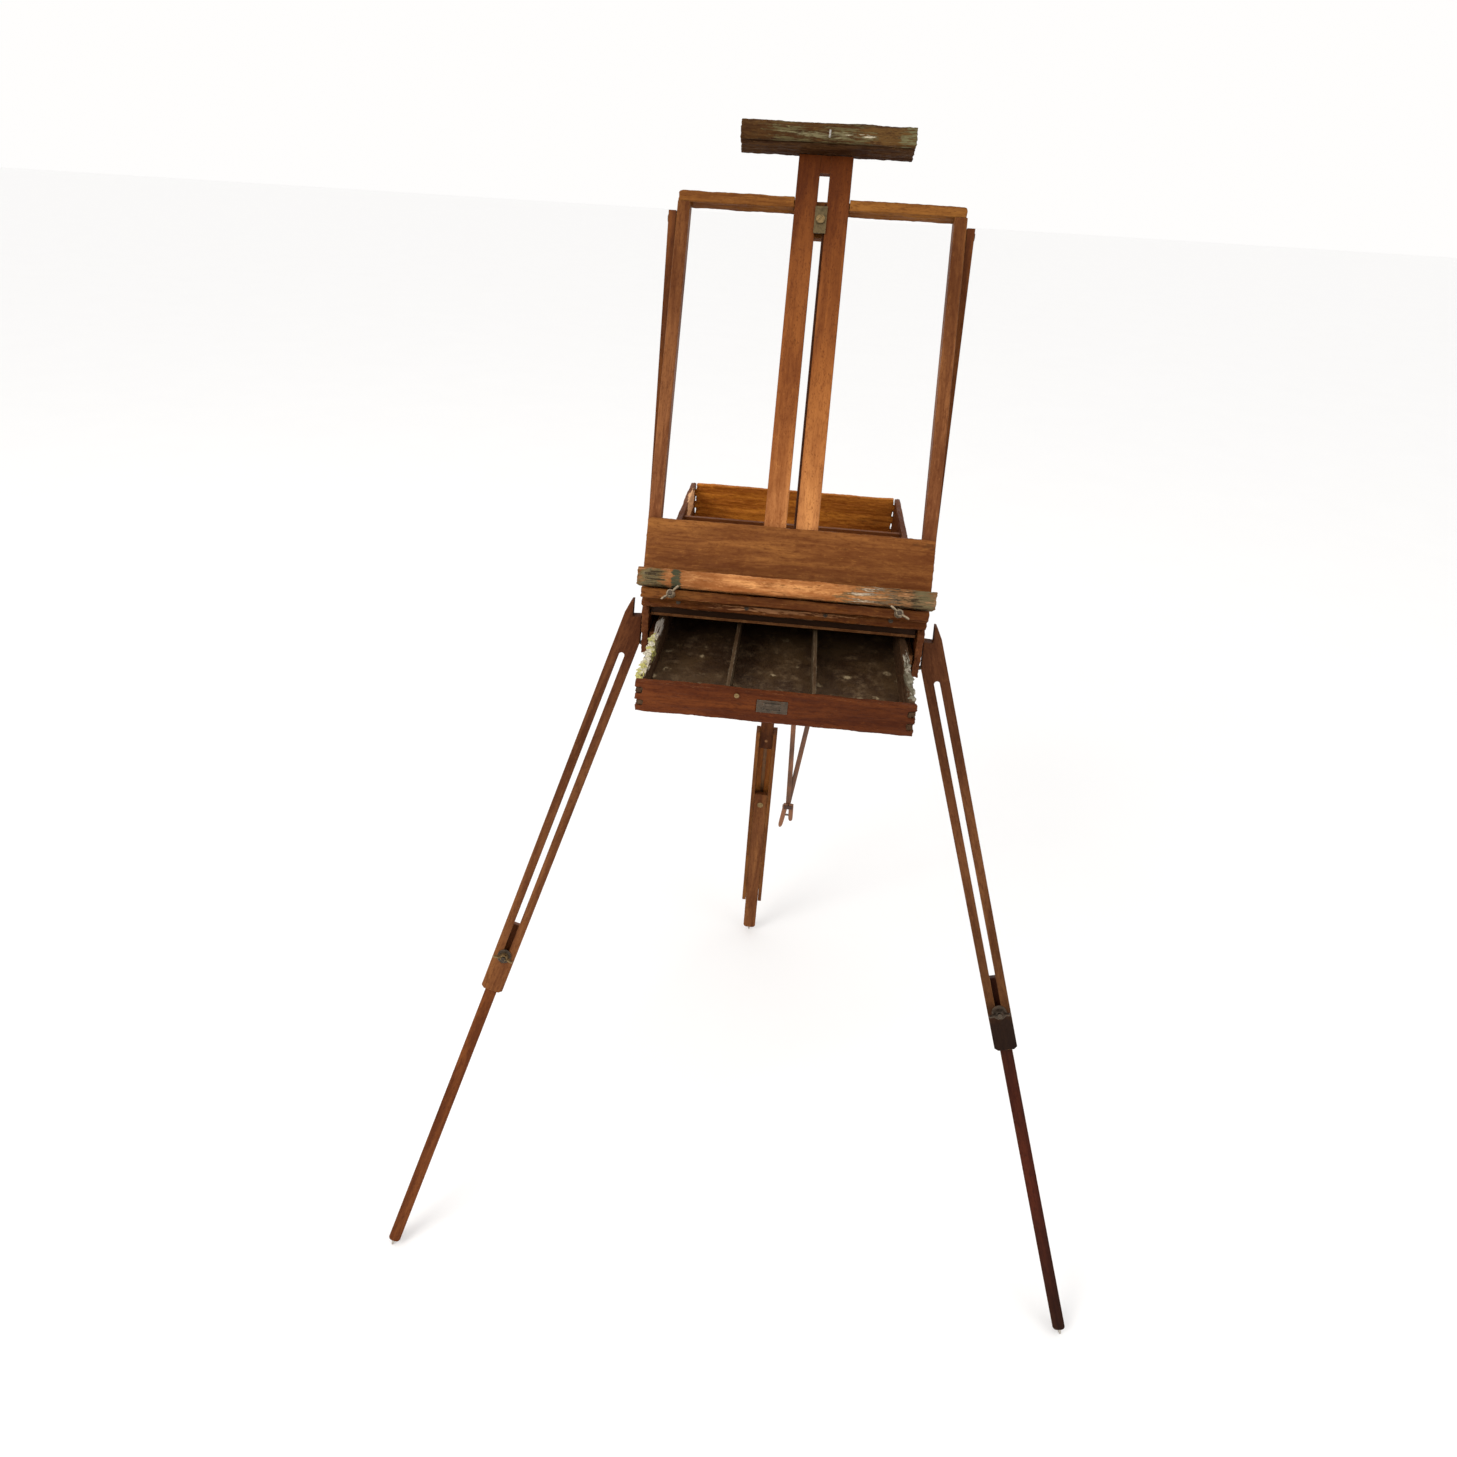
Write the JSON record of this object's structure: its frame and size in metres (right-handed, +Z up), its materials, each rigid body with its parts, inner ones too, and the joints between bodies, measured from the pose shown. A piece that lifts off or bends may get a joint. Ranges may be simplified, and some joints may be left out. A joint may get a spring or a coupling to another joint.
{
  "type": "french box easel",
  "caption": "Folding painting easel: a wooden box on telescopic legs with a sliding drawer, a tilting lid frame, a canvas ledge and a sliding mast.",
  "frame": {"origin": "on the floor under the middle of the whole easel", "axes": "+Z up, +Y away from the painter, +X to the painter's right"},
  "size_m": [1.055, 1.0174, 1.5803],
  "materials": {
    "oiled_beech": "aged varnished beech with flecked grain and rubbed edges",
    "dark_beech": "dark stained beech, worn and paint-marked",
    "pale_beech": "worn beech, bare in places, with dried paint",
    "drawer_lining": "blackened zinc sheet with smudges",
    "iron": "tarnished iron with dull highlights",
    "old_brass": "dull aged brass",
    "steel": "worn steel",
    "strap_leather": "old brown bridle leather"
  },
  "bodies": {
    "box": {"box_right_side": "oiled_beech", "box_left_side": "oiled_beech", "box_back": "pale_beech", "box_bottom": "oiled_beech", "box_cross_boards": "oiled_beech", "tray_floor": "oiled_beech", "drawer_guides": "oiled_beech", "box_hinges": "old_brass", "leg_pivot_bolts": "iron", "rear_leg_bracket": "oiled_beech", "rear_pivot_bolt": "iron", "carrying_strap": "strap_leather", "strap_staples": "steel", "strap_buckle": "steel"},
    "lid": {"lid_hinge_leaves": "old_brass", "lid_side_rails": "oiled_beech", "lid_top_rail": "oiled_beech", "lid_board": "oiled_beech", "lid_front_rail": "oiled_beech", "mast_guides": "oiled_beech", "ledge_shelf": "pale_beech", "ledge_lip": "pale_beech", "ledge_batten": "pale_beech", "lid_bolts": "old_brass", "mast_clamp_bolt": "old_brass"},
    "left_ledge_nut": {"left_ledge_wing_nut": "iron"},
    "right_ledge_nut": {"right_ledge_wing_nut": "iron"},
    "mast_nut": {"mast_clamp_nut": "old_brass"},
    "mast": {"mast_slats": "pale_beech", "head_bar": "dark_beech", "head_face": "dark_beech", "head_pin": "steel"},
    "left_stay": {"left_stay": "oiled_beech", "left_stay_bolt": "old_brass"},
    "right_stay": {"right_stay": "oiled_beech", "right_stay_bolt": "old_brass"},
    "drawer": {"drawer_front": "oiled_beech", "drawer_sides": "dark_beech", "drawer_back": "dark_beech", "drawer_bottom": "dark_beech", "drawer_liner": "drawer_lining", "drawer_dividers": "dark_beech", "drawer_catch": "iron"},
    "rear_bar": {"rear_leg_bar": "oiled_beech", "rear_channel_bolt": "iron"},
    "rear_channel": {"rear_channel_rails": "oiled_beech", "rear_channel_web": "oiled_beech"},
    "rear_foot": {"rear_lower_leg": "oiled_beech", "rear_foot_pin": "steel"},
    "rear_nut": {"rear_wing_nut": "iron"},
    "left_leg": {"left_upper_leg": "oiled_beech"},
    "left_lower_leg": {"left_lower_leg": "oiled_beech", "left_foot_pin": "steel", "left_leg_clamp": "iron"},
    "left_leg_nut": {"left_leg_wing_nut": "iron"},
    "right_leg": {"right_upper_leg": "oiled_beech"},
    "right_lower_leg": {"right_lower_leg": "oiled_beech", "right_foot_pin": "steel", "right_leg_clamp": "iron"},
    "right_leg_nut": {"right_leg_wing_nut": "iron"}
  },
  "joints": [
    {"name": "lid_tilt", "type": "hinge", "parent": "box", "child": "lid", "pos_m": [0, -0.08059, 0.9702], "axis": [1, 0, 0], "range_deg": [-61.2, 8]},
    {"name": "mast_slide", "type": "slide", "parent": "lid", "child": "mast", "axis": [0, 0.4818, 0.8763], "range_m": [-0.05, 0.42]},
    {"name": "mast_nut_turn", "type": "hinge", "parent": "lid", "child": "mast_nut", "pos_m": [0, 0.18689, 1.44532], "axis": [0, 0.8763, -0.4818], "continuous": true},
    {"name": "left_ledge_nut_turn", "type": "hinge", "parent": "lid", "child": "left_ledge_nut", "pos_m": [-0.158, -0.12945, 0.99444], "axis": [0, -0.8763, 0.4818], "continuous": true},
    {"name": "left_stay_turn", "type": "hinge", "parent": "lid", "child": "left_stay", "pos_m": [-0.21, 0.1687, 1.44961], "axis": [1, 0, 0], "range_deg": [-11.11, 1.46]},
    {"name": "right_ledge_nut_turn", "type": "hinge", "parent": "lid", "child": "right_ledge_nut", "pos_m": [0.158, -0.12945, 0.99444], "axis": [0, -0.8763, 0.4818], "continuous": true},
    {"name": "right_stay_turn", "type": "hinge", "parent": "lid", "child": "right_stay", "pos_m": [0.21, 0.1687, 1.44961], "axis": [1, 0, 0], "range_deg": [-11.11, 1.46]},
    {"name": "drawer_slide", "type": "slide", "parent": "box", "child": "drawer", "axis": [0, -1, 0], "range_m": [-0.183, 0.12]},
    {"name": "left_leg_fold", "type": "hinge", "parent": "box", "child": "left_leg", "pos_m": [-0.2251, -0.08937, 0.902], "axis": [0.9496, 0, -0.3134], "range_deg": [0, 114.5]},
    {"name": "left_leg_slide", "type": "slide", "parent": "left_leg", "child": "left_lower_leg", "axis": [0.2852, 0.4148, 0.8641], "range_m": [0, 0.45]},
    {"name": "left_leg_nut_turn", "type": "hinge", "parent": "left_lower_leg", "child": "left_leg_nut", "pos_m": [-0.372, -0.31952, 0.45685], "axis": [0.13, -0.9099, 0.3939], "continuous": true},
    {"name": "right_leg_fold", "type": "hinge", "parent": "box", "child": "right_leg", "pos_m": [0.2251, -0.08937, 0.902], "axis": [0.9496, 0, 0.3134], "range_deg": [0, 114.5]},
    {"name": "right_leg_slide", "type": "slide", "parent": "right_leg", "child": "right_lower_leg", "axis": [-0.2852, 0.4148, 0.8641], "range_m": [0, 0.45]},
    {"name": "right_leg_nut_turn", "type": "hinge", "parent": "right_lower_leg", "child": "right_leg_nut", "pos_m": [0.372, -0.31952, 0.45685], "axis": [-0.13, -0.9099, 0.3939], "continuous": true},
    {"name": "rear_leg_fold", "type": "hinge", "parent": "box", "child": "rear_bar", "pos_m": [-0.01, 0.29563, 0.86], "axis": [-1, 0, 0], "range_deg": [0, 92]},
    {"name": "rear_channel_slide", "type": "slide", "parent": "rear_bar", "child": "rear_channel", "axis": [0, -0.035, 0.9994], "range_m": [0, 0.29]},
    {"name": "rear_foot_slide", "type": "slide", "parent": "rear_channel", "child": "rear_foot", "axis": [0, -0.035, 0.9994], "range_m": [0, 0.13]},
    {"name": "rear_nut_turn", "type": "hinge", "parent": "rear_bar", "child": "rear_nut", "pos_m": [-0.01, 0.32793, 0.50892], "axis": [0, 0.9994, 0.035], "continuous": true}
  ],
  "couplings": [
    {"joint": "left_stay_turn", "follows": "lid_tilt", "ratio": 0.18137},
    {"joint": "right_stay_turn", "follows": "lid_tilt", "ratio": 0.18137}
  ]
}
